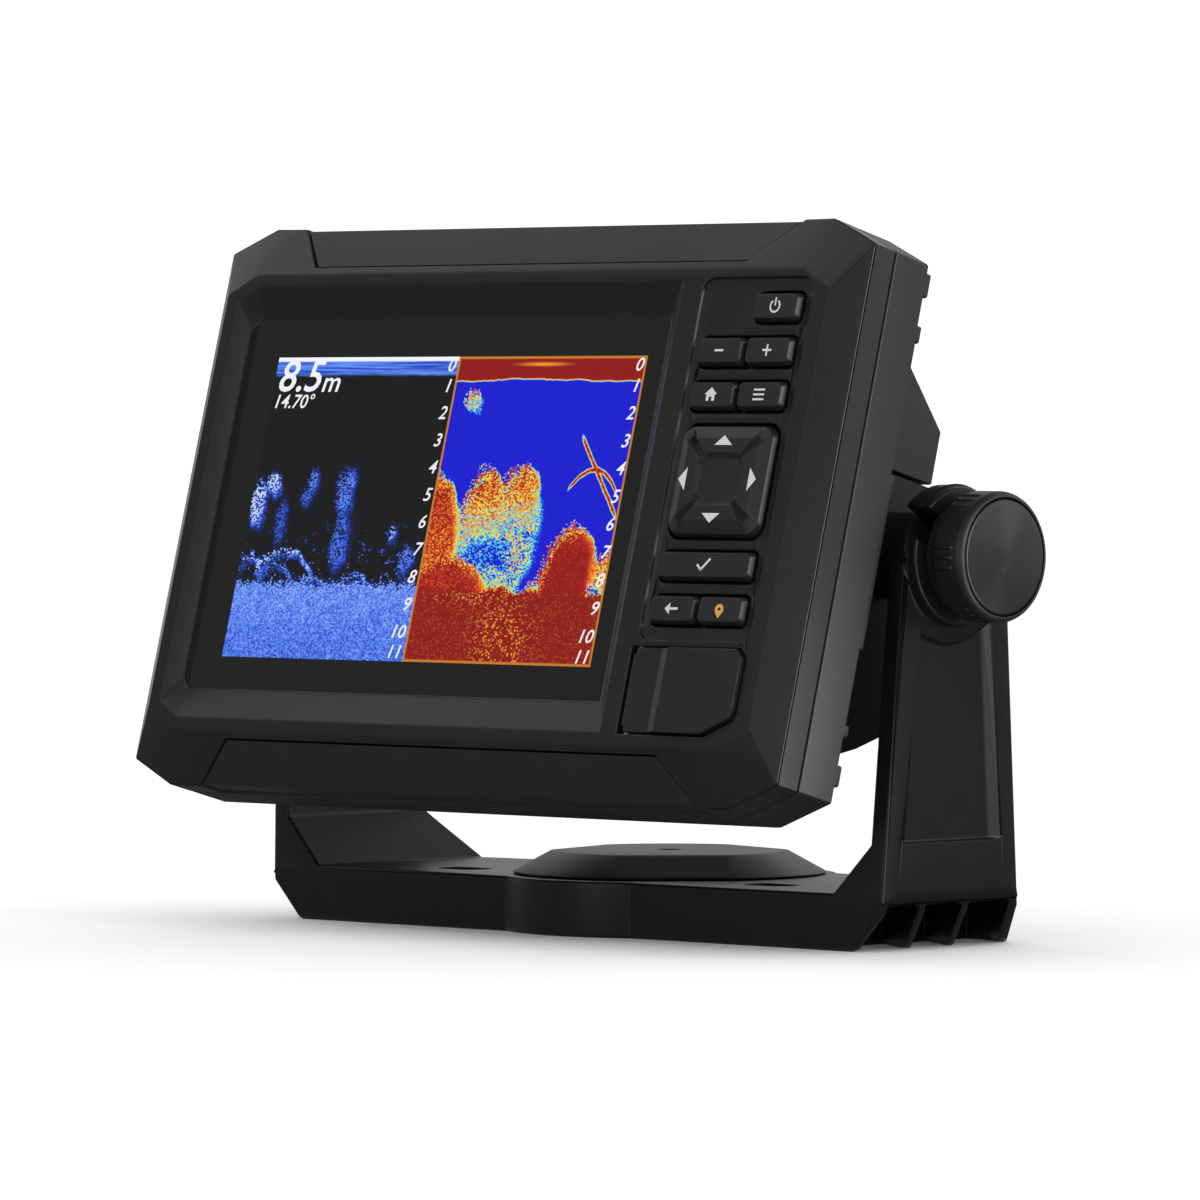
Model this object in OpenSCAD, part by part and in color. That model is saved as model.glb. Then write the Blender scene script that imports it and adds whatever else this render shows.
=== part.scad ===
// Fish finder: a keyed sonar display head on a tilting bail with a swivel foot.
// Millimetres, +Z up. Origin: on the swivel axis, on the surface the mount stands on.
// X runs across the display, -Y faces the user. The head leans back by rest_tilt.
//
// The head is drawn in a face frame: x across, y up the face, z out of the glass,
// with z = 0 on the front of the cover glass and x = y = 0 in the middle of the case.

/* [Swivel foot] */
// Radius of the dome where it meets the bail
dome_base_r = 33; // [30:0.1:34]
// Radius of the flat top of the dome
dome_top_r = 24.6; // [22:0.1:27]
// Height of the dome's top above the deck
dome_top_z = 16.6; // [15:0.1:18]
// Radius of the spigot that the bail turns on
spigot_r = 20; // [16:0.5:22]
// Radius of the foot plate under the bail
foot_r = 26; // [24:0.5:29]
// Thickness of the foot plate
foot_t = 3.2; // [2.5:0.1:3.6]
// Radius of the hole for the deck screw
deck_hole_r = 2.4; // [2:0.1:3]

/* [Bail] */
// Half the width of the bail's foot at the deck
foot_half_w = 79.8; // [78:0.1:81]
// Half the width where the foot's chamfer meets the legs
leg_base_x = 88; // [87:0.1:89]
// Height of that corner
leg_base_z = 8.5; // [8:0.1:9]
// Outward lean of the legs in degrees
leg_lean = 2.35; // [2:0.05:2.6]
// Distance from the swivel axis to the front of the foot
foot_front = 30.5; // [29:0.5:32]
// Distance from the swivel axis to the rear edge of the legs
foot_rear = 9.9; // [9:0.1:12]
// Height of the foot's floor
floor_z = 11.6; // [11:0.1:12]
// Thickness of the foot's floor
bail_wall = 3; // [2.5:0.1:3.4]
// Radius of the round boss in the middle of the foot
boss_r = 35.4; // [34:0.1:36]
// Radius of a leg's round top
leg_top_r = 14.4; // [14:0.1:15]
// Fixing slots, across the foot
slot_pitch_x = 89.2; // [86:0.2:92]
// Fixing slots, front to back
slot_pitch_y = 33; // [30:0.5:36]

/* [Tilt pivot] */
// Pivot height above the deck
pivot_z = 79.1; // [78:0.1:80]
// Pivot position, negative towards the user
pivot_y = -12.5; // [-13:0.1:-12]
// Lean of the head as drawn, in degrees
rest_tilt = 15; // [10:0.5:18]
// Radius of the knob's stud
stud_r = 2.95; // [2.5:0.05:3]
// Radius of the clamp knob
knob_r = 13.2; // [12:0.1:14]
// Distance from the middle to the knob's face
knob_face_x = 105; // [104:0.1:106]

/* [Case] */
// Width of the case
case_w = 185.6; // [184:0.1:187]
// Height of the case
case_h = 121; // [120:0.1:122]
// Depth from the glass back to the seam between the shells
seam_z = 7.6; // [7.2:0.1:8.4]
// Depth from the glass back to the rear face of the tray
tray_z = 17.9; // [17.2:0.1:18.4]
// Depth from the glass back to the rear of the hump
hump_z = 50.8; // [49:0.1:52]
// Half the width of the hump
hump_half_w = 73.4; // [72:0.1:75]
// Wall of both shells
case_wall = 2.4; // [2:0.1:2.6]
// Height of the bezel's flat above the glass
bezel_z = 3; // [2.5:0.1:3.2]

/* [Display] */
// Width of the lit area
lit_w = 108; // [107:0.5:109]
// Height of the lit area
lit_h = 64.8; // [64:0.1:66]
// Distance from the middle of the case to the middle of the lit area
lit_x = -16.7; // [-17:0.1:-16]

/* [Keys] */
// Middle of the key column
key_col_x = 67.1; // [66.8:0.1:67.4]
// Width of the key column's openings
key_col_w = 26.4; // [26:0.1:26.8]
// Height of a key's opening
key_hole_h = 6.8; // [6.4:0.1:7]
// Height of the key tops above the glass
key_top_z = 3.8; // [3.4:0.1:4.2]
// Gap around a key
key_gap = 0.45; // [0.35:0.05:0.5]
// Width and height of the arrow pad's opening
pad_hole = [26.4, 24]; // [22:0.1:27]

/* [Hidden] */
$fn = 64;
e = 0.01;

// Colours
shell_col = "#1c1d1f";
satin_col = "#232427";
bail_col = "#1a1b1d";
rubber_col = "#101112";
key_col = "#202124";
board_col = "#1f5a36";
steel_col = "#b5b8bb";
brass_col = "#b89042";

// Case outline and its corner cuts
corner_cut = [12.3, 5.3];
flat_w = 174;
flat_h = 98.4;
chamfer_z = 1.6;

// Window and recess
glass_w = 122.6;
glass_h = 80.1;
glass_x = -19.5;
glass_y = 0.25;
glass_t = 1.2;
recess_x = [-83.7, 46.3];
recess_y = [-46.8, 46.9];
lit_y = -0.5;

// Key column, as [x, y, width, height] of each opening
key_row_y = [41, 31.9, 22.75, -12.25, -21.3];
pad_y = 5.2;
panel_z = 2.3;
panel_t = 2;
key_base_z = -0.9;
key_split = 0.8;

// Card door
door_x = [51.1, 82.2];
door_y = [-46.6, -29.2];
door_low_z = 3.05;
door_high_z = 4.1;
door_pin_x = 52.5;
door_pin_z = 1.65;
door_barrel_r = 1.4;
bay_z = -4.6;

// Stack behind the glass, as depths from the glass
lcd_z = 3.4;
lcd_t = 2.8;
board_z = 11.6;
board_t = 1.6;
key_board_z = 3.4;

// Rear hump and cradle, as [face y, depth] corners
hump_low = 18.3;
hump_ridge = 29.5;
hump_top = 57.7;
cradle_side = [[17.8, -18.3], [17.8, -50.8], [-34.7, -49.4], [-38.5, -43.3], [-40.7, -38.6], [-43.5, -18.3]];
cradle_half_w = 72.8;
cradle_wall = 3;
window = [74, 25];
window_y = -13;
cradle_boss_r = 8.8;
cradle_boss_x = 84.4;

// Latch
latch_w = 22;
latch_pin_y = 5;
latch_pin_r = 1.5;
latch_pin_z = -47.2;
latch_gap_y = 0.9;

// Position of the face frame inside the tilting head
glass_ahead = 41.9;
face_drop = 1.4;

module head_frame() {
    translate([0, pivot_y, pivot_z]) rotate([-rest_tilt, 0, 0]) children();
}
module face_frame() {
    head_frame() translate([0, -glass_ahead, -face_drop]) rotate([90, 0, 0]) children();
}
module both_sides() {
    children();
    mirror([1, 0, 0]) children();
}
module both_ends(z0) {
    translate([0, 0, z0]) children();
    mirror([0, 0, 1]) translate([0, 0, z0]) children();
}
module prism(z0, z1) {
    translate([0, 0, z0]) linear_extrude(z1 - z0) children();
}

// ---------- Shared outlines ----------

module cut_rect(w, h, cx, cy) {
    polygon([
        [-w / 2 + cx, -h / 2], [w / 2 - cx, -h / 2], [w / 2, -h / 2 + cy], [w / 2, h / 2 - cy],
        [w / 2 - cx, h / 2], [-w / 2 + cx, h / 2], [-w / 2, h / 2 - cy], [-w / 2, -h / 2 + cy]]);
}
module case_outline(inset) {
    cut_rect(case_w - 2 * inset, case_h - 2 * inset, corner_cut[0] - inset / 3, corner_cut[1] - inset / 2);
}
module rounded_rect(w, h, r) {
    square([w - 2 * r, h], center = true);
    square([w, h - 2 * r], center = true);
    for (sx = [-1, 1]) {
        for (sy = [-1, 1]) translate([sx * (w / 2 - r), sy * (h / 2 - r)]) circle(r);
    }
}
module rounded_box(w, h, r, z0, z1) {
    prism(z0, z1) rounded_rect(w, h, r);
}
// Outer form of the bezel, drawn in by inset on every face
module bezel_form(inset) {
    hull() {
        prism(bezel_z - inset - e, bezel_z - inset)
            cut_rect(flat_w - 1.4 * inset, flat_h - 0.6 * inset, 8 - inset / 4, 4.36 - inset / 6);
        prism(-chamfer_z - e, -chamfer_z) case_outline(inset);
    }
    prism(-seam_z, -chamfer_z) case_outline(inset);
}
// Where the top cap sits: its seam runs along the chamfer and slants out at the ends
module trim_area(gap) {
    polygon([
        [-62.6 + gap, 50.8 + gap], [62 - gap, 50.8 + gap],
        [73.5 - gap, case_h / 2 + 1], [-72.3 + gap, case_h / 2 + 1]]);
}

// ---------- Swivel foot ----------

facet_top = 21.7;
facet_low = 31.6;
facet_angle = atan2(dome_top_z - floor_z, facet_low - facet_top);

module swivel_dome() color(bail_col) difference() {
    union() {
        translate([0, 0, floor_z + 0.35])
            cylinder(r1 = dome_base_r, r2 = dome_top_r, h = dome_top_z - floor_z - 0.35, $fn = 128);
        translate([0, 0, foot_t]) cylinder(r = spigot_r, h = floor_z - foot_t + 1, $fn = 96);
    }
    // Three flats
    for (a = [-45, 75, 195]) {
        rotate(a) translate([facet_top, 0, dome_top_z]) rotate([0, facet_angle, 0])
            translate([-10, -20, 0]) cube([40, 40, 12]);
    }
    translate([0, 0, -1]) cylinder(r = deck_hole_r, h = 30, $fn = 32);
    translate([0, 0, foot_t - 1]) difference() {
        cylinder(r = spigot_r - 3, h = 8.5, $fn = 96);
        cylinder(r = 6.5, h = 20, $fn = 48);
        for (a = [0:120:240]) rotate(a) translate([12.5, 0, 0]) cylinder(r = 3.2, h = 20, $fn = 32);
    }
    for (a = [0:120:240]) {
        rotate(a) translate([12.5, 0, foot_t - 1]) cylinder(r = 1.2, h = 8, $fn = 24);
    }
}

module swivel_foot() color(bail_col) difference() {
    cylinder(r = foot_r, h = foot_t, $fn = 96);
    translate([0, 0, -1]) cylinder(r = deck_hole_r, h = 8, $fn = 32);
    for (a = [0:120:240]) {
        rotate(a) translate([12.5, 0, -1]) cylinder(r = 1.6, h = 8, $fn = 24);
        rotate(a) translate([12.5, 0, -e]) cylinder(r1 = 3.1, r2 = 1.6, h = 1.6, $fn = 32);
    }
}

module swivel_washer() color("#d8d6cf") difference() {
    translate([0, 0, foot_t]) cylinder(r = foot_r - 0.6, h = 0.9, $fn = 96);
    cylinder(r = spigot_r + 0.4, h = 10, $fn = 96);
}

module hub_screws() color(steel_col) for (a = [0:120:240]) {
    rotate(a) translate([12.5, 0, 0]) {
        difference() {
            union() {
                translate([0, 0, 0.15]) cylinder(r1 = 2.7, r2 = 1.15, h = 1.55, $fn = 32);
                translate([0, 0, 0.5]) cylinder(r = 1.15, h = 8, $fn = 24);
            }
            cube([3, 0.7, 1.6], center = true);
            cube([0.7, 3, 1.6], center = true);
        }
    }
}

// ---------- Bail ----------

pivot_slot_a = 147.2;
pivot_slot_w = 6.1;
side_wall = 2;
rear_wall = 2.4;
rib_y = [-18.4, -5.6];
leg_depth = 4.2;
leg_recess = 1.3;
leg_back_a = 5.7;
leg_pivot_h = (pivot_z - leg_base_z) / cos(leg_lean);

// Side view of the whole bail, as [depth, height]
module bail_side() {
    polygon([
        [-foot_front, -1], [-foot_front, 10], [pivot_y - leg_top_r, pivot_z], [pivot_y, pivot_z + 2],
        [pivot_y + leg_top_r, pivot_z], [9.4, 64], [40, 40], [40, -1]]);
    translate([pivot_y, pivot_z]) circle(leg_top_r, $fn = 128);
}
// Front view of one half of the foot's floor and its rise into the leg
module floor_band() {
    polygon([
        [0, floor_z], [74.5, floor_z], [84.5, 21.8], [88.5, 21.8], [leg_base_x + 0.05, 9.5],
        [85, 9.5], [85, 18], [75.8, floor_z - bail_wall], [0, floor_z - bail_wall]]);
}
module foot_wall() {
    polygon([
        [0, 0], [foot_half_w, 0], [leg_base_x, leg_base_z], [leg_base_x + 0.2, 14],
        [84.5, 21.8], [74.5, floor_z], [0, floor_z]]);
}
module upright(d0, d1) {
    translate([0, d1, 0]) rotate([90, 0, 0]) linear_extrude(d1 - d0) children();
}
// Frame on the outer face of the right leg, leaning with it
module leg_frame() {
    translate([leg_base_x, 0, leg_base_z]) rotate([0, leg_lean, 0]) children();
}
// Slab parallel to the leg's slanting rear face, from d0 to d1 behind it
module rear_side(d0, d1) {
    leg_frame() translate([0, foot_rear, 4.5]) rotate([0, 0, -32.6]) rotate([4.7, 0, 0])
        translate([-100, d0, -50]) cube([200, d1 - d0, 200]);
}
// Slab parallel to the foot's rear edge between the leg and the boss
module rear_middle(d0, d1) {
    translate([74.5, 18.7, 0]) rotate([0, 0, -7.3]) translate([-100, d0, -5]) cube([200, d1 - d0, 40]);
}
// Right leg: a plate with a sunken panel between its front band and its rear strip
module leg_plate() {
    translate([-leg_depth, -40, 1]) cube([leg_depth - leg_recess, 80, 95]);
    translate([-leg_recess - e, 0, 0]) rotate([90, 0, 90]) linear_extrude(leg_recess + e)
        polygon([[-40, 1], [-26.3, 1], [-17.5, 95], [-40, 95]]);
    intersection() {
        rotate([leg_back_a, 0, 0]) translate([0, 0, -10]) linear_extrude(120)
            polygon([[-leg_recess - e, 3], [0, 5.8], [0, 60], [-leg_recess - e, 60]]);
        translate([-5, -40, 1]) cube([10, 80, 95]);
    }
    translate([-leg_recess - e, pivot_y, leg_pivot_h]) rotate([0, 90, 0])
        cylinder(r = 17.6, h = leg_recess + e, $fn = 96);
}
module bail_half() {
    upright(-foot_front, 40) floor_band();
    upright(-foot_front, side_wall - foot_front) foot_wall();
    intersection() {
        upright(0, 40) foot_wall();
        union() {
            rear_side(-rear_wall, 0);
            rear_middle(-rear_wall, 0);
        }
    }
    // Ribs of the open pockets at the side, and the walls that close them
    for (y = rib_y) intersection() {
        upright(-foot_front, 40) foot_wall();
        translate([leg_base_x, y, 0]) rotate([0, 0, -28.8]) translate([-24, -0.9, 0]) cube([30, 1.8, 12]);
    }
    for (x = [38, 66]) translate([x, -foot_front + 1, 0]) cube([2, 60, floor_z - 1]);
    // Pads under the fixing slots
    for (sy = [-1, 1]) translate([slot_pitch_x / 2, sy * slot_pitch_y / 2, 0]) rounded_box(18, 11, 3, 0, floor_z - 1);
    leg_frame() leg_plate();
}
module mount_slot(z0, z1, r, length) {
    translate([0, 0, z0]) {
        translate([-length / 2 + r, 0, 0]) cylinder(r = r, h = z1 - z0, $fn = 48);
        translate([length / 2 - r, 0, 0]) cylinder(r = r, h = z1 - z0, $fn = 48);
        translate([-length / 2 + r, -r, 0]) cube([length - 2 * r, 2 * r, z1 - z0]);
    }
}

module bail_bracket() color(bail_col) difference() {
    union() {
        difference() {
            intersection() {
                both_sides() bail_half();
                translate([-120, 0, 0]) rotate([90, 0, 90]) linear_extrude(240) bail_side();
            }
            both_sides() {
                rear_side(0, 120);
                rear_middle(0, 60);
            }
        }
        // Round boss and its bearing collar
        difference() {
            cylinder(r = boss_r, h = floor_z, $fn = 128);
            translate([0, 0, -1]) cylinder(r = boss_r - 3.2, h = floor_z - bail_wall + 1, $fn = 128);
        }
        translate([0, 0, foot_t + 1.2]) cylinder(r = foot_r - 1, h = floor_z - foot_t - 1.2, $fn = 96);
        // Collars round the pivot
        both_sides() translate([88, pivot_y, pivot_z]) rotate([0, 90, 0]) cylinder(r = 14, h = 5.3, $fn = 96);
    }
    // Bearing for the spigot, kept clear for the foot plate
    translate([0, 0, -1]) cylinder(r = spigot_r + 0.06, h = 30, $fn = 96);
    translate([0, 0, -1]) cylinder(r = foot_r + 1.2, h = foot_t + 2.2, $fn = 96);
    for (sx = [-1, 1]) {
        for (sy = [-1, 1]) translate([sx * slot_pitch_x / 2, sy * slot_pitch_y / 2, 0]) {
            mount_slot(-1, 20, 2.6, 9);
            mount_slot(floor_z - 1.6, 20, 4.4, 13);
        }
    }
    // Slots that let the studs out upwards and forwards, with a flared lower jaw
    translate([-120, pivot_y, pivot_z]) rotate([90, 0, 90]) linear_extrude(240) {
        circle(pivot_slot_w / 2);
        rotate(pivot_slot_a) polygon([
            [0, -pivot_slot_w / 2], [30, -pivot_slot_w / 2], [30, pivot_slot_w / 2 + 4],
            [8, pivot_slot_w / 2], [0, pivot_slot_w / 2]]);
    }
}

// ---------- Clamp knobs ----------

knob_back_x = 93.7;
knob_grip_x = 96.8;
neck_r = 11.2;
ring_r = 11.9;

module knob_profile() {
    polygon([
        [0, knob_back_x], [neck_r, knob_back_x], [neck_r, knob_grip_x - 0.4], [knob_r - 0.5, knob_grip_x],
        [knob_r, knob_grip_x + 0.7], [knob_r, knob_face_x - 1.6],
        [knob_r - 0.3, knob_face_x - 0.8], [knob_r - 0.8, knob_face_x - 0.3],
        [ring_r, knob_face_x - 0.2], [ring_r, knob_face_x - 1.4], [0, knob_face_x - 1.4]]);
}
module knob_shell() color(satin_col) translate([0, pivot_y, pivot_z]) rotate([0, 90, 0]) difference() {
    union() {
        rotate_extrude($fn = 96) knob_profile();
        for (group = [30:60:330]) {
            for (step = [-9, 0, 9]) rotate(group + step)
                translate([knob_r - 0.1, 0, knob_grip_x + 1]) cylinder(r = 0.4, h = 4.3, $fn = 24);
        }
    }
    translate([0, 0, knob_back_x - 1]) cylinder(r = stud_r + 0.05, h = 6, $fn = 48);
    translate([0, 0, 97.95]) cylinder(r = 5.85, h = 6.5, $fn = 6);
}
module knob_cap() color(satin_col) translate([0, pivot_y, pivot_z]) rotate([0, 90, 0])
    rotate_extrude($fn = 96) difference() {
        polygon([
            [0, knob_face_x - 1.35], [ring_r - 0.25, knob_face_x - 1.35], [ring_r - 0.25, knob_face_x - 0.45],
            [ring_r - 0.6, knob_face_x - 0.15], [7, knob_face_x + 0.15], [3.5, knob_face_x + 0.3],
            [0, knob_face_x + 0.35]]);
    }
module knob_stud() color(steel_col) translate([0, pivot_y, pivot_z]) rotate([0, 90, 0]) {
    translate([0, 0, 68]) cylinder(r = stud_r, h = 30.2, $fn = 48);
    translate([0, 0, 98]) cylinder(r = 5.77, h = 4.4, $fn = 6);
}
module knob_right() knob_shell();
module knob_left() mirror([1, 0, 0]) knob_shell();
module knob_cap_right() knob_cap();
module knob_cap_left() mirror([1, 0, 0]) knob_cap();
module knob_stud_right() knob_stud();
module knob_stud_left() mirror([1, 0, 0]) knob_stud();

// ---------- Case ----------

boss_spots = [[-86.6, 42], [0, 54], [86.6, 42], [-86.6, -42], [0, -54], [86.6, -42]];
boss_h = 5;

module recess_outline() {
    polygon([
        [recess_x[0] + 6, recess_y[0]], [recess_x[1], recess_y[0]], [recess_x[1], recess_y[1]],
        [recess_x[0] + 6.4, recess_y[1]], [recess_x[0], recess_y[1] - 3.2], [recess_x[0], recess_y[0] + 3.4]]);
}
module glass_outline(gap) {
    translate([glass_x, glass_y]) polygon([
        [-glass_w / 2 + 2.3 - gap, -glass_h / 2 - gap], [glass_w / 2 + gap, -glass_h / 2 - gap],
        [glass_w / 2 + gap, glass_h / 2 + gap], [-glass_w / 2 + 3.4 - gap, glass_h / 2 + gap],
        [-glass_w / 2 - gap, glass_h / 2 - 2.5 + gap], [-glass_w / 2 - gap, -glass_h / 2 + 2.2 - gap]]);
}
// The bay's corners are square at the hinge side, so that the door's ends can swing in them
module door_outline(gap) {
    hinge_cut = gap > 0 ? e : 0.8;
    polygon([
        [door_x[0] - gap, door_y[0] - gap + hinge_cut], [door_x[0] - gap + hinge_cut, door_y[0] - gap],
        [74.6 + 0.3 * gap, door_y[0] - gap], [81.6 + 0.8 * gap, door_y[0] + 3.3 - 0.7 * gap],
        [door_x[1] + gap, door_y[0] + 5],
        [door_x[1] + gap, door_y[1] - 1.6], [door_x[1] - 1.6, door_y[1] + gap],
        [door_x[0] - gap + hinge_cut, door_y[1] + gap], [door_x[0] - gap, door_y[1] + gap - hinge_cut]]);
}
module key_openings() {
    translate([key_col_x + key_col_w / 2 - 6.55, key_row_y[0]]) rounded_rect(13.1, key_hole_h, 1.6);
    for (i = [1:4]) translate([key_col_x, key_row_y[i]]) rounded_rect(key_col_w, key_hole_h, 1.6);
    translate([key_col_x, pad_y]) rounded_rect(pad_hole[0], pad_hole[1], 3.4);
}

// The bezel's inside: its top and bottom walls are thicker, because the caps are let into them
module bezel_hollow() {
    cut_rect(case_w - 2 * case_wall, case_h - 8, corner_cut[0], corner_cut[1] - 2);
}

module front_bezel() color(shell_col) face_frame() difference() {
    union() {
        difference() {
            bezel_form(0);
            // Hollow behind the front
            prism(-seam_z - 1, 0.3 - chamfer_z - case_wall) bezel_hollow();
            hull() {
                prism(-chamfer_z - case_wall, -chamfer_z - case_wall + e) offset(-0.4) bezel_hollow();
                prism(panel_z - panel_t - e, panel_z - panel_t) cut_rect(flat_w - 7, flat_h - 4, 8, 4);
            }
            // Seats for the two caps
            for (side = [0, 1]) mirror([0, side, 0]) difference() {
                prism(-seam_z - 1, 10) trim_area(0);
                prism(-seam_z - 2, 9) square([200, 2 * 50.8 + 2 * e], center = true);
                bezel_form(2.2);
            }
        }
        // Ledge under the glass, card bay and screw bosses
        prism(-glass_t - 1.6, 0.4) translate([glass_x, glass_y]) square([glass_w + 5, glass_h + 5], center = true);
        prism(bay_z - 1.4, 0.4) door_outline(1.6);
        intersection() {
            for (p = boss_spots) translate([p[0], p[1], -seam_z]) cylinder(r = 3.4, h = boss_h, $fn = 32);
            prism(-seam_z, 1) case_outline(1.2);
        }
    }
    // Display recess: sloping walls down to the glass, its seat and the window
    hull() {
        prism(bezel_z, bezel_z + e) recess_outline();
        prism(0, e) glass_outline(0.35);
    }
    prism(-glass_t - 0.15, 1) glass_outline(0.1);
    translate([lit_x, lit_y, 0]) prism(-6, 1) square([lit_w + 5, lit_h + 5], center = true);
    // Key recess and openings
    translate([key_col_x, 9.75, 0]) rounded_box(30.2, 74.9, 3, panel_z, 5);
    prism(-3, 5) key_openings();
    // Card bay with its slot
    prism(bay_z, 5) door_outline(0.3);
    translate([67, -39.5, 0]) prism(bay_z - 5, bay_z + 1) square([12.4, 1.8], center = true);
    // Pilot holes for the case screws
    for (p = boss_spots) translate([p[0], p[1], -seam_z - 1]) cylinder(r = 1.2, h = boss_h, $fn = 24);
    // Holes for the ends of the door's pin
    translate([door_pin_x, door_y[0] - 1.4, door_pin_z]) rotate([-90, 0, 0]) cylinder(r = 0.62, h = 20.4, $fn = 24);
}

module trim_cap() intersection() {
    difference() {
        bezel_form(0.5);
        bezel_form(2.05);
    }
    prism(0.1 - seam_z, 9) intersection() {
        trim_area(0.25);
        translate([-100, 51.05]) square([200, 12]);
    }
}
module top_trim() color(satin_col) face_frame() trim_cap();
module bottom_trim() color(satin_col) face_frame() mirror([0, 1, 0]) trim_cap();

module housing_seal() color(rubber_col) face_frame() prism(-seam_z - 0.35, -seam_z) difference() {
    case_outline(0.5);
    case_outline(case_wall - 0.2);
    for (p = boss_spots) translate(p) circle(1.6);
}

pad_spans = [[48.6, 53.6], [39.2, 42.8], [-23.7, 12], [-41.6, -39.1], [-51.6, -47.2]];

module rear_housing() color(shell_col) face_frame() difference() {
    union() {
        difference() {
            prism(-tray_z, -seam_z - 0.35) case_outline(0);
            prism(case_wall - tray_z, -seam_z + 1) case_outline(case_wall);
        }
        for (p = boss_spots) intersection() {
            translate([p[0], p[1], -tray_z]) cylinder(r = 4.4, h = tray_z - seam_z - 0.4, $fn = 32);
            prism(-tray_z, 0) case_outline(0.6);
        }
        // Hump
        rotate([0, -90, 0]) translate([0, 0, -hump_half_w]) linear_extrude(2 * hump_half_w)
            polygon([[-tray_z, hump_top], [-hump_z, hump_ridge], [-hump_z, hump_low], [-tray_z, hump_low]]);
        // Connector block
        translate([0, window_y, 0]) rounded_box(62, 26, 3, -38, 1 - tray_z);
        // Pads along the rear edges
        for (span = pad_spans) both_sides()
            translate([case_w / 2 - 3, span[0], -tray_z - 1.1]) cube([3, span[1] - span[0], 2]);
    }
    // Inside of the hump and of the connector block
    rotate([0, -90, 0]) translate([0, 0, 2.6 - hump_half_w]) linear_extrude(2 * hump_half_w - 5.2)
        polygon([[3 - tray_z, 53.6], [-48.2, 28.2], [-48.2, hump_low + 2.6], [3 - tray_z, hump_low + 2.6]]);
    translate([0, window_y, 0]) rounded_box(57, 21, 2, -35.4, 3 - tray_z);
    // Seats of the sockets and the vent
    translate([-16, window_y, -40]) cylinder(r = 8.05, h = 10, $fn = 48);
    translate([14, window_y, -40]) cylinder(r = 9.55, h = 10, $fn = 48);
    translate([52, 8, -tray_z - 1]) cylinder(r = 2, h = 6, $fn = 32);
    // Case screws
    for (p = boss_spots) {
        translate([p[0], p[1], -tray_z - 1]) cylinder(r = 1.7, h = 12, $fn = 24);
        translate([p[0], p[1], -tray_z - 1]) cylinder(r = 3.2, h = 3.4, $fn = 32);
    }
    // Notch that the latch's tooth drops into
    translate([-latch_w / 2 - 0.8, hump_low - 1, -hump_z - 1]) cube([latch_w + 1.6, 4.2, 4.5]);
}

module housing_screws() color(steel_col) face_frame() for (p = boss_spots) translate([p[0], p[1], 0]) {
    difference() {
        union() {
            translate([0, 0, 0.6 - tray_z]) cylinder(r = 2.8, h = 1.75, $fn = 32);
            translate([0, 0, 1 - tray_z]) cylinder(r = 1.15, h = 11.8, $fn = 24);
        }
        translate([0, 0, 0.6 - tray_z]) cube([3, 0.7, 1.4], center = true);
        translate([0, 0, 0.6 - tray_z]) cube([0.7, 3, 1.4], center = true);
    }
}

module cover_glass() color("#0a0b0d") face_frame() prism(-glass_t, 0) glass_outline(0);

module glass_gasket() color(rubber_col) face_frame() prism(-lcd_z + 0.02, -glass_t - 1.62) difference() {
    translate([lit_x, lit_y]) square([lit_w + 9.5, lit_h + 9.5], center = true);
    translate([lit_x, lit_y]) square([lit_w + 5.4, lit_h + 5.4], center = true);
}
module lcd_panel() color("#1d3560") face_frame()
    prism(-lcd_z - lcd_t, -lcd_z) translate([lit_x, lit_y]) square([lit_w + 12.5, lit_h + 10.5], center = true);

module lcd_frame() color(steel_col) face_frame() difference() {
    prism(-lcd_z - lcd_t - 1.2, -lcd_z) translate([lit_x, lit_y]) square([lit_w + 15, lit_h + 13], center = true);
    prism(-lcd_z - lcd_t - 0.05, 1) translate([lit_x, lit_y]) square([lit_w + 12.7, lit_h + 10.7], center = true);
    prism(-20, 1) translate([lit_x, lit_y]) square([lit_w - 30, lit_h - 24], center = true);
}
module display_ribbon() color("#b5651d") face_frame() {
    prism(-lcd_z - lcd_t - 1.4, -lcd_z - lcd_t - 1.25) translate([-22, -4]) square([16, 30], center = true);
    prism(-board_z + 0.05, -lcd_z - lcd_t - 1.25) translate([-22, -19]) square([16, 0.3], center = true);
}

module keypad_membrane() color("#3a3c40") face_frame() {
    translate([key_col_x, 9.75, 0]) rounded_box(28, 73, 2, -3.1, -2.3);
    for (i = [1:4]) {
        for (sx = [-1, 1]) translate([key_col_x + sx * 6.5, key_row_y[i], -2.4]) cylinder(r = 2, h = 0.45, $fn = 24);
    }
    translate([key_col_x + 6.5, key_row_y[0], -2.4]) cylinder(r = 2, h = 0.45, $fn = 24);
}
module keypad_board() color(board_col) face_frame()
    translate([key_col_x, 9.75, 0]) rounded_box(28.6, 73.6, 1, -key_board_z - 1.4, -key_board_z + 0.25);

board_spots = [[-74, 40], [46, 40], [-74, -40], [46, -40]];

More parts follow.
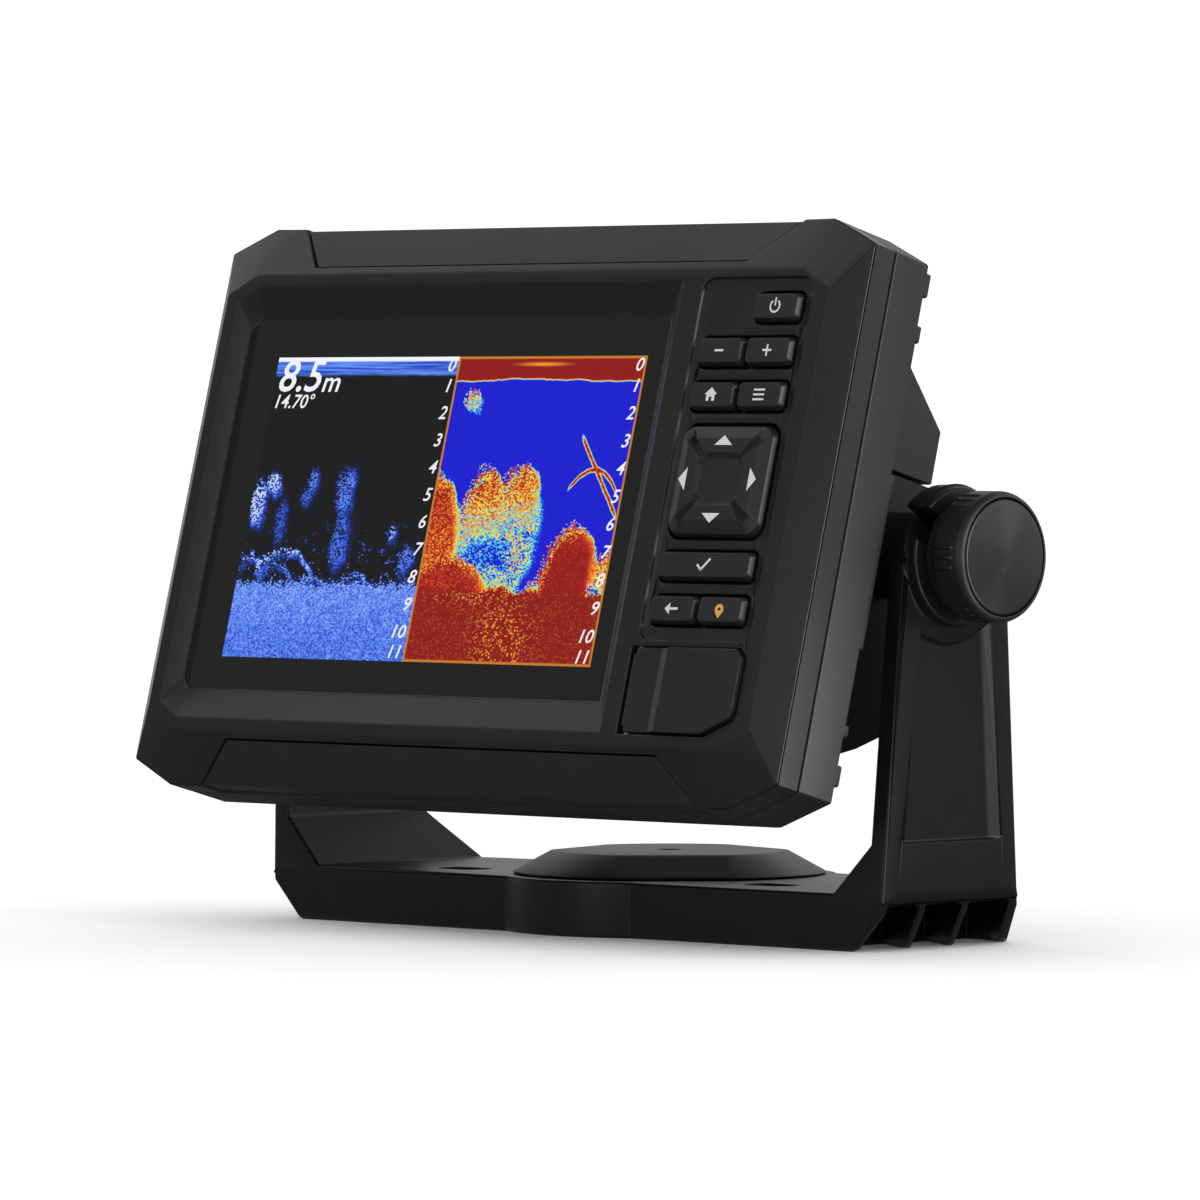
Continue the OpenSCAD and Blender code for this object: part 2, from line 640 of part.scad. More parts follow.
module main_board() color(board_col) face_frame() difference() {
    prism(-board_z - board_t, -board_z) translate([-12, 0]) square([132, 88], center = true);
    for (p = board_spots) translate([p[0], p[1], -board_z - 3]) cylinder(r = 1.7, h = 6, $fn = 24);
}
module board_screws() color(steel_col) face_frame() for (p = board_spots) translate([p[0], p[1], 0]) {
    translate([0, 0, -board_z + 0.02]) cylinder(r = 2.7, h = 1.6, $fn = 32);
    translate([0, 0, -tray_z + case_wall + 0.02]) cylinder(r = 1.5, h = tray_z - case_wall - board_z + 1, $fn = 24);
}
module shield_can() color(steel_col) face_frame() difference() {
    prism(-board_z + 0.02, -board_z + 2.6) translate([-50, 10]) square([34, 40], center = true);
    prism(-board_z - 1, -board_z + 2.3) translate([-50, 10]) square([33.4, 39.4], center = true);
}
module gps_antenna() color("#c9b48a") face_frame() translate([69, 24, 0]) {
    rounded_box(21, 21, 1, -tray_z + case_wall + 0.02, -13.4);
    rounded_box(18, 18, 1, -13.38, -9.4);
}
module sounder() color(rubber_col) face_frame() translate([62, -20, 0]) difference() {
    translate([0, 0, -tray_z + case_wall + 0.02]) cylinder(r = 6, h = 4, $fn = 48);
    translate([0, 0, -13]) cylinder(r = 1, h = 6, $fn = 24);
}
module card_socket() color(steel_col) face_frame() difference() {
    translate([67, -39.5, 0]) prism(-11, bay_z - 1.42) square([15, 5.2], center = true);
    translate([67, -39.5, 0]) prism(-10, 0) square([11.6, 1.1], center = true);
}

module round_socket(x, r, depth) translate([x, window_y, 0]) difference() {
    union() {
        translate([0, 0, -44]) cylinder(r = r, h = depth, $fn = 64);
        translate([0, 0, -39.2]) cylinder(r = r + 1.4, h = 1.18, $fn = 64);
    }
    translate([0, 0, -45]) difference() {
        cylinder(r = r - 1.6, h = 9, $fn = 64);
        cylinder(r = r - 3.2, h = 12, $fn = 64);
    }
}
module power_socket() color(rubber_col) face_frame() round_socket(-16, 8, 14);
module sonar_socket() color(rubber_col) face_frame() round_socket(14, 9.5, 14);

module socket_pins() color(brass_col) face_frame() translate([0, window_y, 0]) {
    for (a = [45:90:315]) translate([-16, 0, 0]) rotate(a)
        translate([2.6, 0, -45.6]) cylinder(r = 0.6, h = 1.58, $fn = 24);
    for (a = [0:45:315]) translate([14, 0, 0]) rotate(a)
        translate([4.2, 0, -45.6]) cylinder(r = 0.6, h = 1.58, $fn = 24);
}
module breather_vent() color("#2b2d30") face_frame() translate([52, 8, 0]) {
    translate([0, 0, -tray_z - 0.9]) cylinder(r = 4, h = 0.88, $fn = 48);
    translate([0, 0, -tray_z - 0.5]) cylinder(r = 1.9, h = 2.6, $fn = 32);
}

// ---------- Cradle ----------

module cradle_side_outline() {
    polygon([for (p = cradle_side) [p[1], p[0]]]);
}
module cradle_cavity_outline() {
    polygon([[-10, 14.8], [-47.6, 14.8], [-46.3, -33], [-41.2, -36.4], [-37.8, -37.9], [-10, -40.6]]);
}
module across(half) {
    rotate([0, -90, 0]) translate([0, 0, -half]) linear_extrude(2 * half) children();
}
pivot_face = [face_drop, -glass_ahead];

module cradle() color(bail_col) face_frame() difference() {
    union() {
        across(cradle_half_w) cradle_side_outline();
        translate([0, pivot_face[0], pivot_face[1]]) rotate([0, 90, 0])
            both_ends(60) cylinder(r = cradle_boss_r, h = cradle_boss_x - 60, $fn = 64);
    }
    across(cradle_half_w - cradle_wall) cradle_cavity_outline();
    // Opening for the plugs
    translate([0, window_y, 0]) rounded_box(window[0], window[1], 4, -60, -40);
    // Bores for the inserts
    both_sides() translate([cradle_half_w - 4, pivot_face[0], pivot_face[1]]) rotate([0, 90, 0])
        cylinder(r = 5.02, h = 30, $fn = 64);
    // Gap and pin hole for the latch
    translate([-latch_w / 2 - 0.5, latch_gap_y, -60]) cube([latch_w + 1, 40, 16.5]);
    translate([-18, latch_pin_y, latch_pin_z]) rotate([0, 90, 0]) cylinder(r = latch_pin_r + 0.02, h = 36, $fn = 32);
}
module cradle_inserts() color(brass_col) face_frame() both_sides()
    translate([cradle_half_w + 0.5, pivot_face[0], pivot_face[1]]) rotate([0, 90, 0]) difference() {
        cylinder(r = 5, h = cradle_boss_x - cradle_half_w - 0.9, $fn = 64);
        translate([0, 0, -1]) cylinder(r = stud_r + 0.05, h = 30, $fn = 48);
    }
module tilt_pads() color(rubber_col) face_frame() both_sides()
    translate([cradle_boss_x, pivot_face[0], pivot_face[1]]) rotate([0, 90, 0]) difference() {
        cylinder(r = 9, h = 1, $fn = 64);
        translate([0, 0, -1]) cylinder(r = 4, h = 4, $fn = 48);
    }
module latch_pin() color(steel_col) face_frame()
    translate([-16, latch_pin_y, latch_pin_z]) rotate([0, 90, 0]) cylinder(r = latch_pin_r, h = 32, $fn = 32);

module cradle_latch() color(satin_col) face_frame() difference() {
    union() {
        across(latch_w / 2) polygon([
            [-50.6, 2], [-50.6, 16.4], [-50.2, 20.6], [-47.8, 20.6], [-47.6, 16.4], [-48, 8], [-48, 2]]);
        translate([-latch_w / 2, latch_pin_y, latch_pin_z]) rotate([0, 90, 0])
            cylinder(r = 2.9, h = latch_w, $fn = 48);
        for (y = [10:2:16]) translate([-8, y - 0.5, -51.1]) cube([16, 1, 0.8]);
    }
    translate([-20, latch_pin_y, latch_pin_z]) rotate([0, 90, 0])
        cylinder(r = latch_pin_r + 0.05, h = 40, $fn = 32);
    translate([-3.5, latch_pin_y, latch_pin_z]) rotate([0, 90, 0]) cylinder(r = 2.75, h = 7, $fn = 48);
    translate([-3.5, latch_pin_y - 3.2, latch_pin_z]) cube([7, 6.4, 3.2]);
}
// Torsion spring wound on the pin, as its coil and two short ends
module latch_spring() color(steel_col) face_frame() difference() {
    union() {
        translate([-3.1, latch_pin_y, latch_pin_z]) rotate([0, 90, 0]) cylinder(r = 2.5, h = 6.2, $fn = 48);
        translate([2.4, latch_pin_y - 3.2, latch_pin_z + 1.9]) cube([0.6, 3.2, 0.6]);
    }
    translate([-20, latch_pin_y, latch_pin_z]) rotate([0, 90, 0])
        cylinder(r = latch_pin_r + 0.1, h = 40, $fn = 48);
}

// ---------- Card door ----------

module door_pin() color(steel_col) face_frame()
    translate([door_pin_x, door_y[0] - 1.2, door_pin_z]) rotate([-90, 0, 0]) cylinder(r = 0.6, h = 20, $fn = 24);

module card_door() color(key_col) face_frame() difference() {
    union() {
        // Panel: low at the hinge side, raised past the sloping step
        intersection() {
            prism(0, 6) door_outline(0);
            translate([0, door_y[1] + 1, 0]) rotate([90, 0, 0]) linear_extrude(20) polygon([
                [door_pin_x, door_pin_z - door_barrel_r], [door_x[1] + 1, door_pin_z - door_barrel_r],
                [door_x[1] + 1, door_high_z], [61.9, door_high_z], [59.4, door_low_z], [door_pin_x, door_low_z]]);
        }
        translate([door_pin_x, door_y[0] + 1.3, door_pin_z]) rotate([-90, 0, 0])
            cylinder(r = door_barrel_r, h = 14.8, $fn = 48);
    }
    translate([door_pin_x, door_y[0] - 1, door_pin_z]) rotate([-90, 0, 0]) cylinder(r = 0.65, h = 20, $fn = 24);
}

// ---------- Keys ----------

// A key: a tapered cap on a skirt that stays under the panel
module key(x, y, w, h) color(key_col) face_frame() translate([x, y, 0]) {
    hull() {
        rounded_box(w - 1, h - 1, 1, key_top_z - e, key_top_z);
        rounded_box(w, h, 1.3, panel_z + 0.2, panel_z + 0.2 + e);
    }
    rounded_box(w, h, 1.3, key_base_z, panel_z + 0.2 + e);
    rounded_box(w + 0.3, h + 1.6, 1.3, key_base_z, key_base_z + 0.7);
}
half_key_w = (key_col_w - 2 * key_gap - key_split) / 2;
left_key_x = key_col_x - (half_key_w + key_split) / 2;
right_key_x = key_col_x + (half_key_w + key_split) / 2;
key_h = key_hole_h - 2 * key_gap;

module key_power() key(key_col_x + key_col_w / 2 - 6.55, key_row_y[0], 13.1 - 2 * key_gap, key_h);
module key_minus() key(left_key_x, key_row_y[1], half_key_w, key_h);
module key_plus() key(right_key_x, key_row_y[1], half_key_w, key_h);
module key_home() key(left_key_x, key_row_y[2], half_key_w, key_h);
module key_menu() key(right_key_x, key_row_y[2], half_key_w, key_h);
module key_select() key(key_col_x, key_row_y[3], key_col_w - 2 * key_gap, key_h);
module key_back() key(left_key_x, key_row_y[4], half_key_w, key_h);
module key_mark() key(right_key_x, key_row_y[4], half_key_w, key_h);

pad_w = pad_hole[0] - 1.1;
pad_h = pad_hole[1] - 1.1;

module dpad() color(key_col) face_frame() translate([key_col_x, pad_y, 0]) difference() {
    union() {
        hull() {
            rounded_box(pad_w - 6, pad_h - 6, 2.5, 4.4 - e, 4.4);
            rounded_box(pad_w - 0.9, pad_h - 0.9, 3, key_top_z - 0.4, key_top_z - 0.4 + e);
        }
        hull() {
            rounded_box(pad_w - 0.9, pad_h - 0.9, 3, key_top_z - 0.4, key_top_z - 0.4 + e);
            rounded_box(pad_w, pad_h, 3.2, panel_z, panel_z + e);
        }
        rounded_box(pad_w, pad_h, 3.2, 0.4, panel_z + e);
    }
    // Sunken octagon with a groove out of each corner
    hull() {
        prism(5, 5 + e) cut_rect(14.2, 12.2, 2.7, 2.4);
        prism(3.5, 3.5 + e) cut_rect(11, 9, 2, 1.8);
    }
    for (sx = [-1, 1]) {
        for (sy = [-1, 1]) {
            rotate([0, 0, sx * sy * 42]) translate([sx * 8.2, 0, 5.1]) rotate([0, sx * 6, 0])
                rotate([45, 0, 0]) cube([9, 2.1, 2.1], center = true);
        }
    }
    translate([0, 0, -1]) cylinder(r = 4.4, h = 2.6, $fn = 48);
}
module dpad_rocker() color("#3a3c40") face_frame() translate([key_col_x, pad_y, 0]) {
    translate([0, 0, -1.7]) cylinder(r = 2, h = 2.9, $fn = 32);
    translate([-3.8, 0, 0]) rotate([0, 90, 0]) cylinder(r = 0.9, h = 7.6, $fn = 24);
    translate([0, 3.8, 0]) rotate([90, 0, 0]) cylinder(r = 0.9, h = 7.6, $fn = 24);
}

swivel_dome();
swivel_foot();
swivel_washer();
hub_screws();
bail_bracket();
front_bezel();
top_trim();
bottom_trim();
housing_seal();
rear_housing();
housing_screws();
cover_glass();
glass_gasket();
lcd_panel();
lcd_frame();
display_ribbon();
keypad_membrane();
keypad_board();
main_board();
board_screws();
shield_can();
gps_antenna();
sounder();
card_socket();
power_socket();
sonar_socket();
socket_pins();
breather_vent();
cradle();
cradle_inserts();
tilt_pads();
latch_pin();
cradle_latch();
latch_spring();
door_pin();
card_door();
knob_left();
knob_cap_left();
knob_stud_left();
knob_right();
knob_cap_right();
knob_stud_right();
key_power();
key_minus();
key_plus();
key_home();
key_menu();
key_select();
key_back();
key_mark();
dpad_rocker();
dpad();
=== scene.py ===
import math

import bpy
from mathutils import Matrix, Vector


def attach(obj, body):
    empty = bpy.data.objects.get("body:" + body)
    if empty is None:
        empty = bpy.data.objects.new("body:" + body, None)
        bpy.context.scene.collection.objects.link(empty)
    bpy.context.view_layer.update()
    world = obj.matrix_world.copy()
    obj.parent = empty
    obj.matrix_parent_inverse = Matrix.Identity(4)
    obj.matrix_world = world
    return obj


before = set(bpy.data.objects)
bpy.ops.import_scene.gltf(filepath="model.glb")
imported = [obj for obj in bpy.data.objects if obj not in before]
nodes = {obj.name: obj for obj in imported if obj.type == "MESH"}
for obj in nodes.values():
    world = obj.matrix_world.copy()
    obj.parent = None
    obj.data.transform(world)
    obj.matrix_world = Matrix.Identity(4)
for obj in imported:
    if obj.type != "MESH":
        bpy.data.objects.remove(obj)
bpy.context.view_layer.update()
MM = 0.001

# ---------- Camera ----------

camera_data = bpy.data.cameras.new("camera")
camera_data.lens = 258.9
camera_data.sensor_width = 36
camera_data.clip_start = 0.05
camera_data.clip_end = 50
camera = bpy.data.objects.new("camera", camera_data)
bpy.context.scene.collection.objects.link(camera)
camera.matrix_world = Matrix(
    (
        (0.7152, -0.0159, 0.6987, 1.2494),
        (0.6989, 0.0162, -0.7150, -1.2993),
        (0.0, 0.9997, 0.0227, 0.1096),
        (0, 0, 0, 1),
    )
)
bpy.context.scene.camera = camera
bpy.context.scene.view_settings.view_transform = "Standard"
bpy.context.scene.view_settings.look = "None"

# ---------- Face frame: x across the case, y up its face, z out of the glass ----------

FACE = Matrix(
    (
        (1, 0, 0, 0),
        (0, math.sin(math.radians(15)), -math.cos(math.radians(15)), -0.053335),
        (0, math.cos(math.radians(15)), math.sin(math.radians(15)), 0.088592),
        (0, 0, 0, 1),
    )
)


def face(x, y, z):
    """A point of the face frame in millimetres, in the row frame in metres."""
    return FACE @ Vector((x * MM, y * MM, z * MM))


# ---------- Shader helpers ----------


class Shader:
    """A material's node tree, with a short way to write arithmetic on its sockets."""

    def __init__(self, name):
        self.mat = bpy.data.materials.new(name)
        self.mat.use_nodes = True
        self.nt = self.mat.node_tree
        self.bsdf = self.nt.nodes["Principled BSDF"]
        self.coord = None

    def put(self, kind, **settings):
        n = self.nt.nodes.new(kind)
        for key, value in settings.items():
            setattr(n, key, value)
        return n

    def plug(self, value, socket):
        if isinstance(value, bpy.types.NodeSocket):
            self.nt.links.new(value, socket)
        else:
            socket.default_value = value

    def object_coord(self):
        if self.coord is None:
            self.coord = self.put("ShaderNodeTexCoord").outputs["Object"]
        return self.coord

    def math(self, op, a, b=0.0, c=0.0, clamp=False):
        n = self.put("ShaderNodeMath", operation=op, use_clamp=clamp)
        self.plug(a, n.inputs[0])
        self.plug(b, n.inputs[1])
        self.plug(c, n.inputs[2])
        return n.outputs[0]

    def add(self, a, b):
        return self.math("ADD", a, b)

    def sub(self, a, b):
        return self.math("SUBTRACT", a, b)

    def mul(self, a, b):
        return self.math("MULTIPLY", a, b)

    def most(self, *values):
        out = values[0]
        for v in values[1:]:
            out = self.math("MAXIMUM", out, v)
        return out

    def ramp(self, value, a, b, lo=0.0, hi=1.0, smooth=True):
        n = self.put("ShaderNodeMapRange")
        n.interpolation_type = "SMOOTHSTEP" if smooth else "LINEAR"
        self.plug(value, n.inputs[0])
        for i, v in enumerate((a, b, lo, hi)):
            self.plug(v, n.inputs[i + 1])
        return n.outputs[0]

    def noise(self, coord, scale, detail=2.0, rough=0.5, stretch=None, distort=0.0):
        if stretch is not None:
            m = self.put("ShaderNodeMapping")
            self.plug(coord, m.inputs[0])
            m.inputs["Scale"].default_value = stretch
            coord = m.outputs[0]
        n = self.put("ShaderNodeTexNoise")
        self.plug(coord, n.inputs["Vector"])
        n.inputs["Scale"].default_value = scale
        n.inputs["Detail"].default_value = detail
        n.inputs["Roughness"].default_value = rough
        n.inputs["Distortion"].default_value = distort
        return n.outputs["Fac"]

    def field(self, x, y, sx, sy, seed, detail=2.0, rough=0.5):
        c = self.put("ShaderNodeCombineXYZ")
        self.plug(self.mul(x, sx), c.inputs[0])
        self.plug(self.mul(y, sy), c.inputs[1])
        c.inputs[2].default_value = seed
        return self.noise(c.outputs[0], 1.0, detail, rough)

    def blob(self, x, y, cx, cy, rx, ry, soft=0.5):
        """1 inside an ellipse, falling to 0 at its edge."""
        u = self.math("DIVIDE", self.sub(x, cx), rx)
        v = self.math("DIVIDE", self.sub(y, cy), ry)
        d = self.math("SQRT", self.add(self.mul(u, u), self.mul(v, v)))
        return self.ramp(d, 1.0, 1.0 - soft)

    def speckle(self, x, y, nx, ny):
        """A chance value from -0.5 to 0.5 for each cell of a grid nx by ny."""
        c = self.put("ShaderNodeCombineXYZ")
        self.plug(self.math("FLOOR", self.mul(x, nx)), c.inputs[0])
        self.plug(self.math("FLOOR", self.mul(y, ny)), c.inputs[1])
        n = self.put("ShaderNodeTexWhiteNoise", noise_dimensions="2D")
        self.plug(c.outputs[0], n.inputs["Vector"])
        return self.sub(n.outputs["Value"], 0.5)

    def mix(self, fac, a, b):
        n = self.put("ShaderNodeMix", data_type="RGBA")
        self.plug(fac, n.inputs[0])
        self.plug(a, n.inputs[6])
        self.plug(b, n.inputs[7])
        return n.outputs[2]

    def colours(self, fac, stops):
        n = self.put("ShaderNodeValToRGB")
        r = n.color_ramp
        while len(r.elements) < len(stops):
            r.elements.new(0.5)
        for element, (pos, colour) in zip(r.elements, stops):
            element.position = pos
            element.color = colour
        self.plug(fac, n.inputs[0])
        return n.outputs[0]

    def bump(self, height, distance, strength=1.0, over=None):
        n = self.put("ShaderNodeBump")
        n.inputs["Strength"].default_value = strength
        n.inputs["Distance"].default_value = distance
        self.plug(height, n.inputs["Height"])
        if over is not None:
            self.plug(over, n.inputs["Normal"])
        return n.outputs[0]

    def set(self, **sockets):
        names = {
            "base": "Base Color",
            "rough": "Roughness",
            "metal": "Metallic",
            "spec": "Specular IOR Level",
            "normal": "Normal",
            "coat": "Coat Weight",
            "coat_rough": "Coat Roughness",
            "glow": "Emission Color",
            "glow_strength": "Emission Strength",
            "ior": "IOR",
            "sheen": "Sheen Weight",
            "aniso": "Anisotropic",
        }
        for key, value in sockets.items():
            self.plug(value, self.bsdf.inputs[names[key]])
        return self


def srgb(r, g, b, a=1.0):
    """An 8-bit display colour as linear values."""

    def one(c):
        c /= 255
        return c / 12.92 if c <= 0.04045 else ((c + 0.055) / 1.055) ** 2.4

    return (one(r), one(g), one(b), a)


def grey(v):
    return (v, v, v, 1.0)


def plastic(name, base, rough, grain=0.45, depth=0.012, wear=0.25, spec=0.5, tint=(1, 1, 1), wave=0.0):
    """A moulded plastic: fine grain in the surface, uneven gloss and a faint mottle in the colour."""
    s = Shader(name)
    c = s.object_coord()
    fine = s.noise(c, 1000 / grain, 3.0, 0.6)
    slow = s.noise(c, 22.0, 3.0, 0.55)
    patch = s.noise(c, 90.0, 4.0, 0.6)
    lo = tuple(base * t * (1 - wear) for t in tint) + (1.0,)
    hi = tuple(base * t * (1 + wear) for t in tint) + (1.0,)
    s.set(base=s.mix(patch, lo, hi))
    r = s.ramp(slow, 0.3, 0.7, rough * 0.92, rough * 1.08)
    s.set(rough=s.add(r, s.mul(s.sub(fine, 0.5), 0.12)), spec=spec)
    normal = s.bump(fine, depth * MM)
    if wave:
        normal = s.bump(s.noise(c, 70.0, 2.0, 0.5), wave * MM, over=normal)
    s.set(normal=normal)
    return s.mat


def metal(name, colour, rough, brushed=(1, 1, 1), scale=400.0):
    """A machined or plated metal with fine marks along one direction."""
    s = Shader(name)
    c = s.object_coord()
    marks = s.noise(c, scale, 4.0, 0.65, stretch=brushed)
    stain = s.noise(c, 60.0, 3.0, 0.6)
    dark = tuple(v * 0.78 for v in colour[:3]) + (1.0,)
    s.set(
        base=s.mix(stain, dark, colour),
        metal=1.0,
        rough=s.ramp(marks, 0.2, 0.8, rough * 0.75, rough * 1.3),
        normal=s.bump(marks, 0.006 * MM),
    )
    return s.mat


# ---------- Materials ----------

MATS = {
    "bezel": plastic("bezel_satin", 0.0066, 0.38, 0.30, 0.006, wave=0.004),
    "cap": plastic("cap_satin", 0.008, 0.42, 0.30, 0.006),
    "rear": plastic("rear_shell", 0.0095, 0.48, 0.55, 0.030),
    "bail": plastic("bail_shell", 0.0068, 0.34, 0.50, 0.010, spec=0.25),
    # The swivel dome is the bail's plastic, with its base colour cut to about a third of the bail's: painted
    # shade for the dome that sits under the head.
    "hub": plastic("hub_shell_painted_shade", 0.0022, 0.38, 0.45, 0.010, spec=0.2),
    "cradle": plastic("cradle_shell", 0.0090, 0.46, 0.50, 0.016, spec=0.25),
    "knob": plastic("knob_rubber", 0.0085, 0.48, 0.40, 0.014),
    "key": plastic("key_satin", 0.0095, 0.42, 0.30, 0.006),
    "door": plastic("door_satin", 0.0075, 0.40, 0.30, 0.006),
    "rubber": plastic("seal_rubber", 0.010, 0.72, 0.35, 0.012),
    "washer": plastic("washer_acetal", 0.62, 0.38, 0.40, 0.010, wear=0.04),
    "silicone": plastic("keypad_silicone", 0.045, 0.62, 0.50, 0.010),
    "socket": plastic("socket_plastic", 0.014, 0.40, 0.40, 0.010),
    "steel": metal("stainless_steel", (0.58, 0.58, 0.57, 1), 0.30, (1, 1, 8)),
    "brass": metal("plated_brass", (0.72, 0.50, 0.20, 1), 0.26, (1, 6, 1)),
}


def board_material():
    """A green circuit board: solder mask over straight tracks, with pads."""
    s = Shader("circuit_board")
    m = s.put("ShaderNodeMapping")
    m.vector_type = "TEXTURE"
    s.plug(s.object_coord(), m.inputs[0])
    m.inputs["Rotation"].default_value = (math.radians(75), 0, 0)
    c = m.outputs[0]
    xyz = s.put("ShaderNodeSeparateXYZ")
    s.plug(c, xyz.inputs[0])
    brick = s.put("ShaderNodeTexBrick")
    s.plug(c, brick.inputs[0])
    brick.inputs["Scale"].default_value = 240.0
    brick.inputs["Mortar Size"].default_value = 0.035
    brick.inputs["Brick Width"].default_value = 1.7
    brick.inputs["Row Height"].default_value = 0.62
    brick.inputs["Bias"].default_value = 0.2
    tracks = s.math("SUBTRACT", 1.0, brick.outputs["Fac"])
    cells = s.put("ShaderNodeTexVoronoi")
    s.plug(c, cells.inputs["Vector"])
    cells.inputs["Scale"].default_value = 300.0
    pads = s.ramp(cells.outputs["Distance"], 0.22, 0.16)
    zone = s.ramp(s.noise(c, 55.0, 2.0), 0.5, 0.56)
    pads = s.mul(pads, zone)
    mask = s.mix(tracks, (0.012, 0.085, 0.030, 1), (0.020, 0.14, 0.050, 1))
    s.set(
        base=s.mix(pads, mask, (0.70, 0.62, 0.40, 1)),
        metal=s.mul(pads, 0.9),
        rough=s.ramp(pads, 0.0, 1.0, 0.34, 0.28),
        normal=s.bump(s.most(tracks, pads), 0.03 * MM),
    )
    return s.mat


def ribbon_material():
    """Polyimide film with copper lines along it."""
    s = Shader("ribbon_film")
    w = s.put("ShaderNodeTexWave", wave_type="BANDS", bands_direction="X")
    s.plug(s.object_coord(), w.inputs[0])
    w.inputs["Scale"].default_value = 320.0
    line = s.ramp(w.outputs["Fac"], 0.4, 0.6)
    s.set(base=s.mix(line, (0.42, 0.17, 0.03, 1), (0.60, 0.27, 0.06, 1)), rough=0.35, coat=0.4)
    s.set(normal=s.bump(line, 0.02 * MM))
    return s.mat


def ceramic_material():
    """A fired patch antenna: pale ceramic with a speckle."""
    s = Shader("antenna_ceramic")
    c = s.object_coord()
    speck = s.ramp(s.noise(c, 1600.0, 3.0, 0.7), 0.55, 0.75)
    s.set(base=s.mix(speck, (0.62, 0.55, 0.42, 1), (0.40, 0.34, 0.24, 1)), rough=0.45)
    s.set(normal=s.bump(speck, 0.01 * MM))
    return s.mat


def glass_material():
    """The cover glass: its back is printed black outside the lit area, so it reads as gloss black."""
    s = Shader("cover_glass")
    c = s.object_coord()
    smear = s.noise(c, 28.0, 4.0, 0.6, stretch=(1, 1, 2.2))
    s.set(
        base=s.mix(smear, (0.0085, 0.0085, 0.0088, 1), (0.0105, 0.0105, 0.0110, 1)),
        rough=s.ramp(smear, 0.3, 0.75, 0.035, 0.075),
        ior=1.52,
    )
    return s.mat


def spun_material():
    """A knob face turned in fine rings, so its gloss stretches outwards from the middle."""
    s = Shader("knob_face")
    c = s.object_coord()
    fine = s.noise(c, 2400.0, 3.0, 0.6)
    slow = s.noise(c, 60.0, 2.0)
    s.set(base=s.mix(slow, (0.0075, 0.0075, 0.0075, 1), (0.0100, 0.0100, 0.0100, 1)))
    s.set(rough=s.add(s.ramp(slow, 0.3, 0.7, 0.30, 0.36), s.mul(s.sub(fine, 0.5), 0.08)), spec=0.5, aniso=0.8)
    tangent = s.put("ShaderNodeTangent", direction_type="RADIAL", axis="X")
    s.plug(tangent.outputs[0], s.bsdf.inputs["Tangent"])
    s.set(normal=s.bump(fine, 0.004 * MM))
    return s.mat


MATS["knob_cap"] = spun_material()
MATS["board"] = board_material()
MATS["ribbon"] = ribbon_material()
MATS["ceramic"] = ceramic_material()
MATS["glass"] = glass_material()

# Each CAD node's material, the record's slot and the width of its edge rounding in millimetres
FINISH = {
    "swivel_dome": ("hub", "bail_plastic", 0.5),
    "swivel_foot": ("bail", "bail_plastic", 0.3),
    "swivel_washer": ("washer", "washer_plastic", 0.15),
    "hub_screws": ("steel", "steel", 0.08),
    "bail_bracket": ("bail", "bail_plastic", 0.6),
    "front_bezel": ("bezel", "shell_plastic", 0.3),
    "top_trim": ("cap", "trim_plastic", 0.25),
    "bottom_trim": ("cap", "trim_plastic", 0.25),
    "housing_seal": ("rubber", "seal_rubber", 0),
    "rear_housing": ("rear", "shell_plastic", 0.45),
    "housing_screws": ("steel", "steel", 0.08),
    "cover_glass": ("glass", "screen_glass", 0),
    "glass_gasket": ("rubber", "seal_rubber", 0),
    "lcd_panel": ("glass", "lcd", 0.1),
    "lcd_frame": ("steel", "steel", 0.1),
    "display_ribbon": ("ribbon", "ribbon", 0),
    "keypad_membrane": ("silicone", "silicone", 0.15),
    "keypad_board": ("board", "board", 0.05),
    "main_board": ("board", "board", 0.05),
    "board_screws": ("steel", "steel", 0.1),
    "shield_can": ("steel", "steel", 0.1),
    "gps_antenna": ("ceramic", "ceramic", 0.15),
    "sounder": ("socket", "socket_plastic", 0.2),
    "card_socket": ("steel", "steel", 0.05),
    "power_socket": ("socket", "socket_plastic", 0.2),
    "sonar_socket": ("socket", "socket_plastic", 0.2),
    "socket_pins": ("brass", "brass", 0.05),
    "breather_vent": ("rubber", "seal_rubber", 0.1),
    "cradle": ("cradle", "bail_plastic", 0.2),
    "cradle_inserts": ("brass", "brass", 0.15),
    "tilt_pads": ("rubber", "seal_rubber", 0.1),
    "latch_pin": ("steel", "steel", 0.1),
    "cradle_latch": ("cap", "trim_plastic", 0.25),
    "latch_spring": ("steel", "steel", 0),
    "door_pin": ("steel", "steel", 0.05),
    "card_door": ("door", "trim_plastic", 0.25),
    "knob_left": ("knob", "knob_plastic", 0.2),
    "knob_cap_left": ("knob_cap", "knob_plastic", 0.15),
    "knob_stud_left": ("steel", "steel", 0.2),
    "knob_right": ("knob", "knob_plastic", 0.2),
    "knob_cap_right": ("knob_cap", "knob_plastic", 0.15),
    "knob_stud_right": ("steel", "steel", 0.2),
    "key_power": ("key", "key_plastic", 0.15),
    "key_minus": ("key", "key_plastic", 0.15),
    "key_plus": ("key", "key_plastic", 0.15),
    "key_home": ("key", "key_plastic", 0.15),
    "key_menu": ("key", "key_plastic", 0.15),
    "key_select": ("key", "key_plastic", 0.15),
    "key_back": ("key", "key_plastic", 0.15),
    "key_mark": ("key", "key_plastic", 0.15),
    "dpad_rocker": ("steel", "steel", 0.1),
    "dpad": ("key", "key_plastic", 0.15),
}


